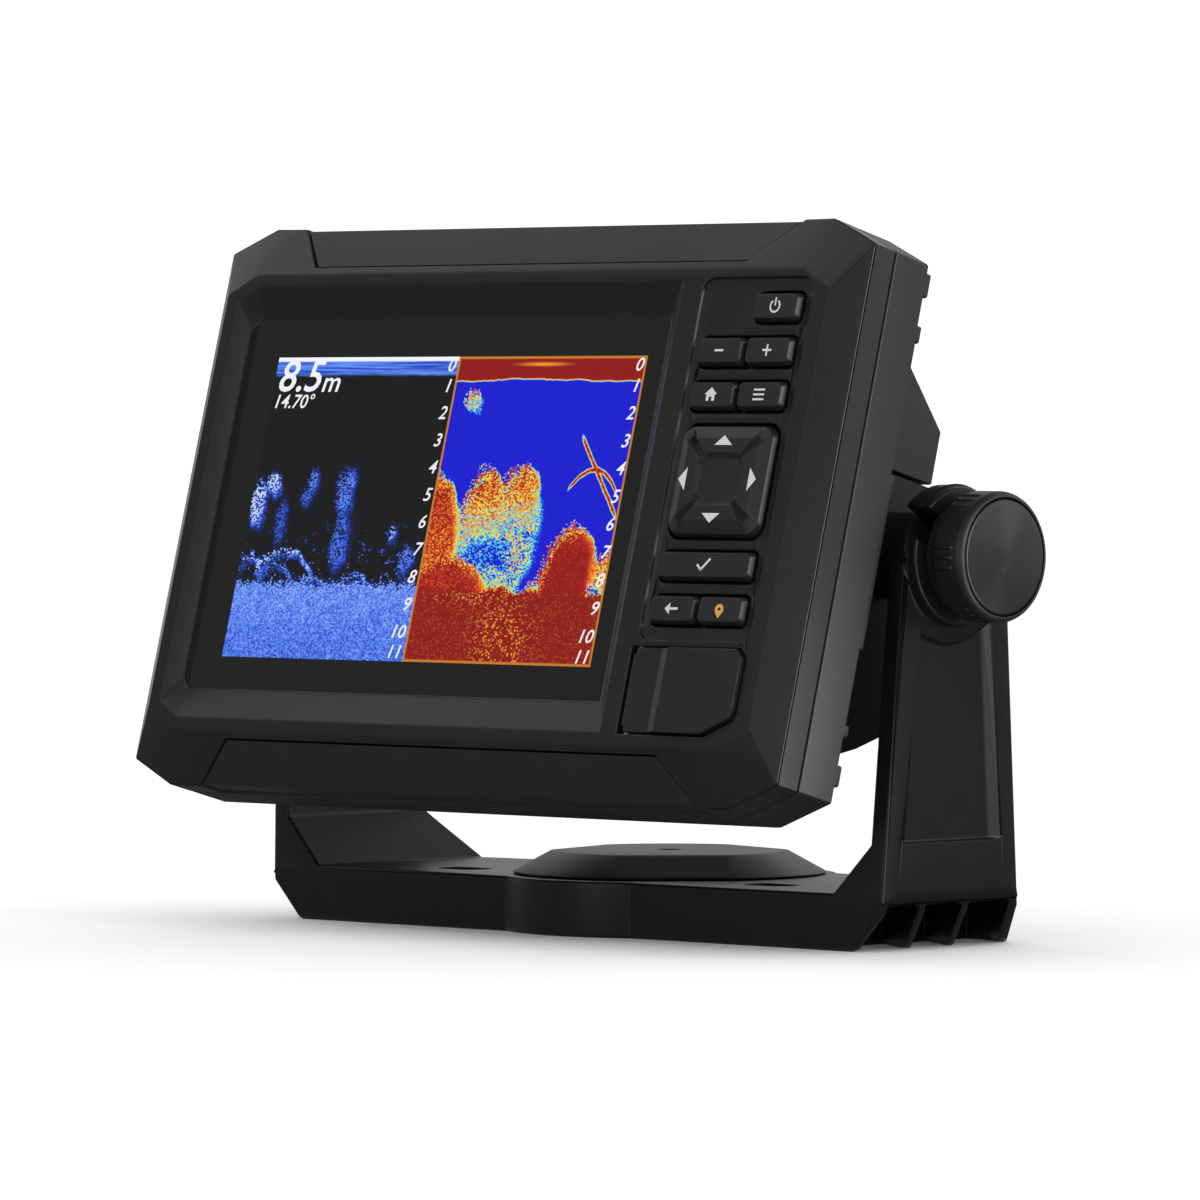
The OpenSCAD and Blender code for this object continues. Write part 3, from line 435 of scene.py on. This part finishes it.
def finish_node(o, width):
    """Rounds a CAD node's edges a little and shades it smooth, with modifiers only."""
    me = o.data
    if "custom_normal" in me.attributes:
        me.attributes.remove(me.attributes["custom_normal"])
    me.shade_smooth()
    weld = o.modifiers.new("weld", "WELD")
    weld.merge_threshold = 1e-6
    if width:
        bevel = o.modifiers.new("edge", "BEVEL")
        bevel.width = width * MM
        bevel.segments = 2
        bevel.limit_method = "ANGLE"
        bevel.angle_limit = math.radians(12)
        bevel.use_clamp_overlap = False
        bevel.harden_normals = False
    weighted = o.modifiers.new("shade", "WEIGHTED_NORMAL")
    weighted.mode = "FACE_AREA_WITH_ANGLE"
    weighted.weight = 80
    weighted.keep_sharp = False


for name, o in nodes.items():
    which, slot_name, width = FINISH[name]
    o.data.materials.clear()
    o.data.materials.append(MATS[which])
    finish_node(o, width)


# ---------- Pieces on the face ----------


def link(name, me, material, body):
    o = bpy.data.objects.new(name, me)
    bpy.context.scene.collection.objects.link(o)
    me.materials.append(material)
    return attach(o, body)


def outline_mesh(name, polys, place):
    """Flat polygons given in millimetres, placed point by point."""
    verts, faces = [], []
    for poly in polys:
        faces.append(list(range(len(verts), len(verts) + len(poly))))
        verts += [place(x, y) for x, y in poly]
    me = bpy.data.meshes.new(name)
    me.from_pydata(verts, [], faces)
    me.update()
    return me


def decal(name, body, polys, at, z, material):
    me = outline_mesh(name, polys, lambda x, y: face(at[0] + x, at[1] + y, z))
    return link(name, me, material, body)


def strip(points, width):
    """A thick open line as one quad per stretch, lapped at the corners."""
    out = []
    for (x0, y0), (x1, y1) in zip(points, points[1:]):
        d = math.hypot(x1 - x0, y1 - y0)
        tx, ty = (x1 - x0) / d * width / 2, (y1 - y0) / d * width / 2
        nx, ny = -ty, tx
        out.append(
            [
                (x0 - tx + nx, y0 - ty + ny),
                (x0 - tx - nx, y0 - ty - ny),
                (x1 + tx - nx, y1 + ty - ny),
                (x1 + tx + nx, y1 + ty + ny),
            ]
        )
    return out


def ring(r0, r1, a0, a1, steps=28):
    """Part of a ring, from angle a0 to a1 in degrees."""
    out = []
    for i in range(steps):
        a = math.radians(a0 + (a1 - a0) * i / steps)
        b = math.radians(a0 + (a1 - a0) * (i + 1) / steps)
        corners = ((r0, a), (r1, a), (r1, b), (r0, b))
        out.append([(r * math.cos(t), r * math.sin(t)) for r, t in corners])
    return out


def box_poly(x0, y0, x1, y1):
    return [(x0, y0), (x1, y0), (x1, y1), (x0, y1)]


def ink(name, colour):
    s = Shader(name)
    c = s.object_coord()
    worn = s.noise(c, 2600.0, 2.0, 0.6)
    dim = tuple(v * 0.86 for v in colour[:3]) + (1.0,)
    s.set(base=s.mix(worn, dim, colour), rough=s.ramp(worn, 0.3, 0.7, 0.42, 0.55))
    s.set(normal=s.bump(worn, 0.004 * MM))
    return s.mat


WHITE_INK = ink("legend_white", (0.58, 0.58, 0.57, 1))
ORANGE_INK = ink("legend_orange", (0.66, 0.33, 0.03, 1))

HALF_LEFT, HALF_RIGHT = 60.525, 73.675
KEY_ROWS = (41, 31.9, 22.75, -12.25, -21.3)
LEGEND_Z = 3.83

LEGENDS = {
    "key_power": (
        ring(1.05, 1.45, 125, 415) + [box_poly(-0.2, 0.1, 0.2, 1.75)],
        (HALF_RIGHT, KEY_ROWS[0]),
        WHITE_INK,
    ),
    "key_minus": ([box_poly(-1.2, -0.22, 1.2, 0.22)], (HALF_LEFT, KEY_ROWS[1]), WHITE_INK),
    "key_plus": (
        [
            box_poly(-1.2, -0.22, 1.2, 0.22),
            box_poly(-0.22, 0.22, 0.22, 1.2),
            box_poly(-0.22, -1.2, 0.22, -0.22),
        ],
        (HALF_RIGHT, KEY_ROWS[1]),
        WHITE_INK,
    ),
    "key_home": (
        [
            [(-1.7, 0.05), (1.7, 0.05), (0, 1.5)],
            [
                (-1.15, 0.05),
                (-1.15, -1.3),
                (-0.38, -1.3),
                (-0.38, -0.45),
                (0.38, -0.45),
                (0.38, -1.3),
                (1.15, -1.3),
                (1.15, 0.05),
            ],
        ],
        (HALF_LEFT, KEY_ROWS[2]),
        WHITE_INK,
    ),
    "key_menu": (
        [box_poly(-1.5, y - 0.2, 1.5, y + 0.2) for y in (-1.0, 0.0, 1.0)],
        (HALF_RIGHT, KEY_ROWS[2]),
        WHITE_INK,
    ),
    "key_select": (strip([(-1.5, -0.1), (-0.5, -1.0), (1.5, 1.1)], 0.5), (67.1, KEY_ROWS[3]), WHITE_INK),
    "key_back": (
        [[(-1.8, 0), (-0.4, -1.2), (-0.4, 1.2)], box_poly(-0.4, -0.25, 1.8, 0.25)],
        (HALF_LEFT, KEY_ROWS[4]),
        WHITE_INK,
    ),
    "key_mark": (
        ring(0.45, 1.15, -30, 210) + [[(1.0, -0.55), (0.0, -1.8), (-1.0, -0.55), (-0.4, -0.2), (0.4, -0.2)]],
        (HALF_RIGHT, KEY_ROWS[4]),
        ORANGE_INK,
    ),
}
for key, (polys, at, material) in LEGENDS.items():
    decal(key.replace("key_", "legend_"), key, polys, at, LEGEND_Z, material)

ARROWS = []
for cx, cy, w, h, way in ((0, 8, 4.9, 2.0, 1), (0, -8, 4.9, 2.0, -1)):
    ARROWS.append([(cx - w / 2, cy - way * h / 2), (cx + w / 2, cy - way * h / 2), (cx, cy + way * h / 2)])
for cx, way in ((9.6, 1), (-9.6, -1)):
    ARROWS.append([(cx - way * 1.05, -2.4), (cx - way * 1.05, 2.4), (cx + way * 1.05, 0)])
decal("dpad_arrows", "dpad", ARROWS, (67.1, 5.2), 4.43, WHITE_INK)

# ---------- The picture on the display ----------

LIT_W, LIT_H = 108.0, 64.8
LIT_AT = (-16.7, -0.5)


def sonar_picture():
    """Two echo charts side by side, drawn in the shader: x and y run 0 to 1 across each pane, y downwards."""
    s = Shader("sonar_picture")
    uv = s.put("ShaderNodeTexCoord").outputs["UV"]
    sep = s.put("ShaderNodeSeparateXYZ")
    s.plug(uv, sep.inputs[0])
    u, y = sep.outputs[0], s.sub(1.0, sep.outputs[1])
    right = s.math("GREATER_THAN", u, 0.5)
    x = s.math("FRACT", s.mul(u, 1.9999))

    grain = s.speckle(x, y, 136, 236)
    coarse = s.field(x, y, 26, 26, 8.7, 4.0, 0.6)
    wobble = s.sub(s.field(x, y, 9, 9, 1.7, 3.0, 0.6), 0.5)
    xw = s.add(x, s.add(s.mul(wobble, 0.07), s.mul(grain, 0.035)))
    drift = s.sub(s.field(x, y, 11, 8, 5.2, 3.0, 0.6), 0.5)
    yw = s.add(y, s.add(s.mul(drift, 0.07), s.mul(grain, 0.03)))

    def away(cx, cy, rx, ry):
        a = s.math("DIVIDE", s.sub(xw, cx), rx)
        b = s.math("DIVIDE", s.sub(yw, cy), ry)
        return s.math("SQRT", s.add(s.mul(a, a), s.mul(b, b)))

    def mass(cx, cy, rx, ry, top, low, amp, rim=0.35):
        """A rounded echo: its level goes from top to low down its height, and drops towards its rim."""
        d = away(cx, cy, rx, ry)
        level = s.ramp(yw, cy - ry, cy, top, low)
        level = s.add(level, s.mul(grain, amp))
        level = s.sub(level, s.ramp(d, 0.7, 1.05, 0.0, rim))
        return s.mul(s.ramp(d, 1.05, 0.97), level)

    def crescent(cx, cy, rx, ry, width, level):
        d = away(cx, cy, rx, ry)
        rim = s.ramp(s.math("ABSOLUTE", s.sub(d, 1.0)), width, 0.0)
        return s.mul(s.mul(rim, s.ramp(yw, cy, cy - ry * 0.3)), level)

    # Left pane: grey-blue scan on black
    weeds = s.most(
        s.mul(s.blob(xw, yw, 0.045, 0.50, 0.06, 0.10, 0.5), 0.95),
        s.mul(s.blob(xw, yw, 0.115, 0.435, 0.055, 0.045, 0.5), 0.9),
        s.mul(s.blob(xw, yw, 0.19, 0.56, 0.045, 0.11, 0.6), 0.45),
        s.mul(s.blob(xw, yw, 0.34, 0.42, 0.05, 0.065, 0.6), 0.6),
        s.mul(s.blob(xw, yw, 0.31, 0.475, 0.05, 0.04, 0.6), 0.5),
        s.mul(s.blob(xw, yw, 0.53, 0.46, 0.065, 0.12, 0.6), 0.62),
        s.mul(s.blob(xw, yw, 0.545, 0.62, 0.065, 0.13, 0.6), 0.55),
        s.mul(s.blob(xw, yw, 0.82, 0.595, 0.03, 0.045, 0.6), 0.75),
        s.mul(s.blob(xw, yw, 0.925, 0.68, 0.045, 0.065, 0.5), 0.6),
    )
    rims = s.most(
        crescent(0.255, 0.745, 0.145, 0.095, 0.16, 1.0),
        crescent(0.22, 0.76, 0.09, 0.06, 0.25, 0.7),
        crescent(0.06, 0.74, 0.08, 0.07, 0.28, 0.85),
        crescent(0.66, 0.76, 0.06, 0.035, 0.4, 0.8),
        crescent(0.42, 0.775, 0.07, 0.035, 0.4, 0.8),
    )
    dots = s.ramp(s.add(grain, s.mul(s.sub(coarse, 0.5), 0.5)), -0.16, 0.14)
    level = s.mul(weeds, s.add(0.35, s.mul(dots, 0.75)))
    level = s.most(level, s.mul(rims, s.add(0.55, s.mul(dots, 0.5))))
    clumps = s.add(grain, s.mul(s.sub(coarse, 0.5), 1.2))
    stray = s.mul(s.ramp(clumps, 0.48, 0.56), s.ramp(y, 0.42, 0.75, 0.0, 0.7))
    level = s.most(level, stray)
    floor_l = s.ramp(s.add(yw, s.mul(wobble, 0.03)), 0.742, 0.762)
    bed = s.add(s.ramp(y, 0.75, 1.0, 0.70, 0.60), s.add(s.mul(grain, 0.34), s.mul(s.sub(coarse, 0.5), 0.28)))
    level = s.most(level, s.mul(floor_l, bed))
    crease = s.mul(s.ramp(s.math("ABSOLUTE", s.sub(coarse, 0.5)), 0.012, 0.0), s.mul(floor_l, 0.25))
    left_picture = s.colours(
        s.sub(level, crease),
        [
            (0.0, srgb(9, 10, 13)),
            (0.15, srgb(12, 20, 60)),
            (0.40, srgb(30, 66, 190)),
            (0.60, srgb(66, 112, 232)),
            (0.80, srgb(124, 162, 250)),
            (1.0, srgb(205, 220, 255)),
        ],
    )
    streak = s.field(x, y, 3, 150, 2.2, 2.0)
    band_colour = s.mix(s.ramp(streak, 0.3, 0.7), srgb(24, 60, 190), srgb(96, 150, 250))
    left_picture = s.mix(s.ramp(s.add(y, s.mul(wobble, 0.01)), 0.066, 0.052), left_picture, band_colour)
    left_picture = s.mix(s.ramp(y, 0.017, 0.011), left_picture, srgb(240, 245, 255))

    # Right pane: colour scale from blue water to dark-red bed
    hollow = s.mul(s.blob(xw, yw, 0.33, 0.68, 0.19, 0.12, 0.7), 0.34)
    humps = s.most(
        mass(0.285, 0.60, 0.135, 0.235, 0.86, 0.44, 0.58, 0.22),
        mass(0.465, 0.60, 0.140, 0.240, 0.82, 0.34, 0.58, 0.22),
    )
    echo = s.most(
        s.sub(humps, hollow),
        mass(0.01, 0.63, 0.165, 0.235, 0.96, 0.78, 0.46),
        mass(0.40, 0.745, 0.10, 0.055, 0.34, 0.34, 0.5, 0.1),
        mass(0.135, 0.775, 0.235, 0.125, 0.90, 0.92, 0.36, 0.30),
        mass(0.79, 0.715, 0.145, 0.16, 0.95, 0.97, 0.24, 0.36),
        mass(0.70, 0.76, 0.10, 0.05, 0.46, 0.42, 0.6, 0.1),
        mass(1.0, 0.70, 0.075, 0.07, 0.66, 0.6, 0.5, 0.2),
        mass(0.125, 0.15, 0.042, 0.030, 0.62, 0.40, 0.6, 0.3),
    )

    def stroke(height, x0, x1, width, level):
        """A thin line that follows a height, between two places across the pane."""
        near = s.ramp(s.math("ABSOLUTE", s.sub(y, height)), width, 0.0)
        ends = s.mul(s.ramp(x, x0 - 0.01, x0 + 0.02), s.ramp(x, x1 + 0.01, x1 - 0.02))
        return s.mul(s.mul(near, ends), level)

    shake = s.mul(s.sub(coarse, 0.5), 0.012)
    from_peak = s.sub(x, 0.835)
    arch = s.add(s.add(0.369, shake), s.mul(s.mul(from_peak, from_peak), 4.2))
    dive = s.add(s.add(0.27, shake), s.mul(s.sub(x, 0.745), 1.03))
    fish = s.most(
        stroke(arch, 0.71, 0.97, 0.015, 0.95),
        stroke(dive, 0.735, 0.99, 0.020, 0.95),
        crescent(0.36, 0.735, 0.09, 0.055, 0.16, 0.34),
    )
    fish = s.mul(fish, s.add(1.0, s.mul(grain, 0.4)))
    echo = s.most(echo, fish)
    line = s.add(s.add(0.079, s.mul(wobble, 0.02)), s.mul(s.blob(x, 0.5, 0.45, 0.5, 0.4, 1.0, 0.9), -0.008))
    echo = s.most(echo, s.ramp(s.sub(line, y), -0.010, 0.004))
    bed_y = s.add(0.768, s.add(s.mul(wobble, 0.05), s.mul(grain, 0.02)))
    bed_r = s.ramp(s.sub(y, bed_y), -0.016, 0.002)
    echo = s.most(echo, bed_r)
    right_picture = s.colours(
        s.most(echo, s.add(0.03, s.mul(grain, 0.05))),
        [
            (0.0, srgb(10, 8, 200)),
            (0.14, srgb(18, 34, 222)),
            (0.27, srgb(50, 170, 236)),
            (0.38, srgb(120, 226, 190)),
            (0.48, srgb(232, 220, 70)),
            (0.60, srgb(240, 150, 40)),
            (0.74, srgb(214, 74, 24)),
            (0.88, srgb(168, 22, 12)),
            (1.0, srgb(140, 12, 9)),
        ],
    )
    ember = s.ramp(s.add(grain, s.mul(s.sub(coarse, 0.5), 0.8)), 0.24, 0.46)
    column = s.most(
        s.blob(x, y, 0.50, 0.93, 0.26, 0.22, 0.9),
        s.mul(s.blob(x, y, 0.35, 0.78, 0.40, 0.05, 0.9), 0.9),
    )
    right_picture = s.mix(s.mul(s.mul(ember, bed_r), s.add(0.16, column)), right_picture, srgb(236, 150, 44))
    glint = s.blob(x, y, 0.46, 0.026, 0.20, 0.010, 1.0)
    right_picture = s.mix(glint, right_picture, srgb(246, 150, 40))

    picture = s.mix(right, left_picture, right_picture)
    # Frame of the active pane
    edge = s.most(
        s.ramp(x, 0.011, 0.009),
        s.ramp(x, 0.989, 0.991),
        s.ramp(y, 0.009, 0.007),
        s.ramp(y, 0.991, 0.993),
    )
    picture = s.mix(s.mul(edge, right), picture, srgb(196, 120, 32))
    s.set(base=grey(0.004), rough=0.05, ior=1.52, glow=picture, glow_strength=1.0)
    return s.mat


corners = [(-LIT_W / 2, -LIT_H / 2), (LIT_W / 2, -LIT_H / 2), (LIT_W / 2, LIT_H / 2), (-LIT_W / 2, LIT_H / 2)]
screen_mesh = outline_mesh("sonar_screen", [corners], lambda x, y: face(LIT_AT[0] + x, LIT_AT[1] + y, 0.03))
uv_layer = screen_mesh.uv_layers.new(name="UVMap")
for loop, (a, b) in zip(uv_layer.data, [(0, 0), (1, 0), (1, 1), (0, 1)]):
    loop.uv = (a, b)
link("sonar_screen", screen_mesh, sonar_picture(), "head")


def glow_ink(name, colour, strength):
    s = Shader(name)
    uneven = s.noise(s.object_coord(), 3000.0, 1.0)
    dim = tuple(v * 0.9 for v in colour[:3]) + (1.0,)
    s.set(base=grey(0.01), rough=0.05, glow=s.mix(uneven, dim, colour), glow_strength=strength)
    return s.mat


def numbers(name, items, z, material):
    """Figures on the display as one flat mesh. Items are (text, x, y, height, shear, align)."""
    verts, faces = [], []
    for text, x, y, height, shear, align in items:
        curve = bpy.data.curves.new("figures", "FONT")
        curve.body = text
        curve.size = height / 0.72
        curve.shear = shear
        curve.offset = 0.012 * height
        curve.align_x = align
        curve.align_y = "CENTER"
        curve.resolution_u = 3
        o = bpy.data.objects.new("figures", curve)
        bpy.context.scene.collection.objects.link(o)
        bpy.context.view_layer.update()
        me = bpy.data.meshes.new_from_object(o.evaluated_get(bpy.context.evaluated_depsgraph_get()))
        start = len(verts)
        verts += [face(x + v.co.x * 1.12, y + v.co.y, z) for v in me.vertices]
        faces += [[start + i for i in p.vertices] for p in me.polygons]
        bpy.data.objects.remove(o)
    me = bpy.data.meshes.new(name)
    me.from_pydata(verts, [], faces)
    me.update()
    return link(name, me, material, "head")


def lit(u, v):
    """A point of the picture, from its top left, in the face frame."""
    return LIT_AT[0] + (u - 0.5) * LIT_W, LIT_AT[1] + (0.5 - v) * LIT_H


DEPTH_Y = (0.03, 0.098, 0.187, 0.277, 0.366, 0.456, 0.545, 0.635, 0.725, 0.815, 0.905, 0.971)
figures = []
for pane in (0, 1):
    for i, v in enumerate(DEPTH_Y):
        px, py = lit(0.492 + 0.5 * pane, v)
        figures.append((str(i), px, py, 2.85, 0.25, "RIGHT"))
px, py = lit(0.008, 0.068)
figures.append(("8.5", px, py, 7.0, 0.2, "LEFT"))
px, py = lit(0.133, 0.085)
figures.append(("m", px, py, 4.6, 0.2, "LEFT"))
px, py = lit(0.006, 0.150)
figures.append(("14.70°", px, py, 3.0, 0.2, "LEFT"))
numbers("screen_numbers", figures, 0.06, glow_ink("screen_white", (0.9, 0.92, 0.95, 1), 1.0))

# ---------- Stage and light ----------


def stage_mesh(name, verts, faces, material):
    me = bpy.data.meshes.new(name)
    me.from_pydata(verts, [], faces)
    me.materials.append(material)
    o = bpy.data.objects.new(name, me)
    bpy.context.scene.collection.objects.link(o)
    return o


floor_mat = Shader("floor_white")
floor_mat.set(
    base=floor_mat.mix(floor_mat.noise(floor_mat.object_coord(), 6.0), grey(0.89), grey(0.92)),
    rough=0.9,
    spec=0.0,
    glow=grey(1),
    glow_strength=0.05,
)
F = 8.0
stage_mesh("floor", [(-F, -F, 0), (F, -F, 0), (F, F, 0), (-F, F, 0)], [[0, 1, 2, 3]], floor_mat.mat)

world = bpy.data.worlds.new("studio")
bpy.context.scene.world = world
world.use_nodes = True
world.node_tree.nodes["Background"].inputs[0].default_value = (1, 1, 1, 1)
world.node_tree.nodes["Background"].inputs[1].default_value = 1.15


def card(name, az, el, radiance, radius=2.4):
    """Part of a sphere round the object, seen only in reflections: a grey flag or a bright reflector.

    az and el are (from, to) in degrees; azimuth 0 is +X and -90 is -Y."""
    steps_a, steps_e = 16, 8
    verts, faces = [], []
    for j in range(steps_e + 1):
        for i in range(steps_a + 1):
            a = math.radians(az[0] + (az[1] - az[0]) * i / steps_a)
            b = math.radians(el[0] + (el[1] - el[0]) * j / steps_e)
            across = radius * math.cos(b)
            verts.append((across * math.cos(a), across * math.sin(a), 0.08 + radius * math.sin(b)))
    for j in range(steps_e):
        for i in range(steps_a):
            k = j * (steps_a + 1) + i
            faces.append([k, k + 1, k + steps_a + 2, k + steps_a + 1])
    return reflected(stage_mesh(name, verts, faces, card_material(name, radiance)))


def card_material(name, radiance):
    s = Shader(name)
    s.set(base=grey(0), rough=1.0, spec=0.0, glow=grey(1), glow_strength=radiance)
    return s.mat


def reflected(o):
    o.visible_camera = False
    o.visible_diffuse = False
    o.visible_shadow = False
    o.visible_transmission = False
    o.visible_volume_scatter = False
    return o


card("flag_front_left", (-172, -106), (0, 30), 0.175)
card("flag_front", (-94, -28), (8, 48), 0.34)
card("reflector_front", (-106, -94), (0, 16), 3.5)
card("reflector_front_low", (-72, -28), (0, 8), 1.6)
card("reflector_right", (-16, 8), (0, 30), 8.5)
card("reflector_left_up", (150, 188), (22, 58), 1.0, 2.3)
card("flag_left_up", (-190, -120), (30, 68), 0.66)
card("flag_back_left", (105, 160), (0, 20), 0.5)
card("flag_band", (-110, 150), (34, 52), 0.5, 2.5)
card("flag_up", (-180, 180), (50, 90), 0.12, 2.45)
# A dark sheet just over the floor, as far out as the cards
GROUND_HALF = 2.38
GROUND_Z = 0.0008
ground = [(x * GROUND_HALF, y * GROUND_HALF, GROUND_Z) for x, y in ((-1, -1), (1, -1), (1, 1), (-1, 1))]
reflected(stage_mesh("flag_ground", ground, [[0, 1, 2, 3]], card_material("flag_ground", 0.12)))
# A low reflector close to the right side, which lights the lower part of the side walls
low = [(0.162, 0.004, 0.002), (0.245, -0.078, 0.002), (0.245, -0.078, 0.066), (0.162, 0.004, 0.066)]
reflected(stage_mesh("reflector_low", low, [[0, 1, 2, 3]], card_material("reflector_low", 4.2)))
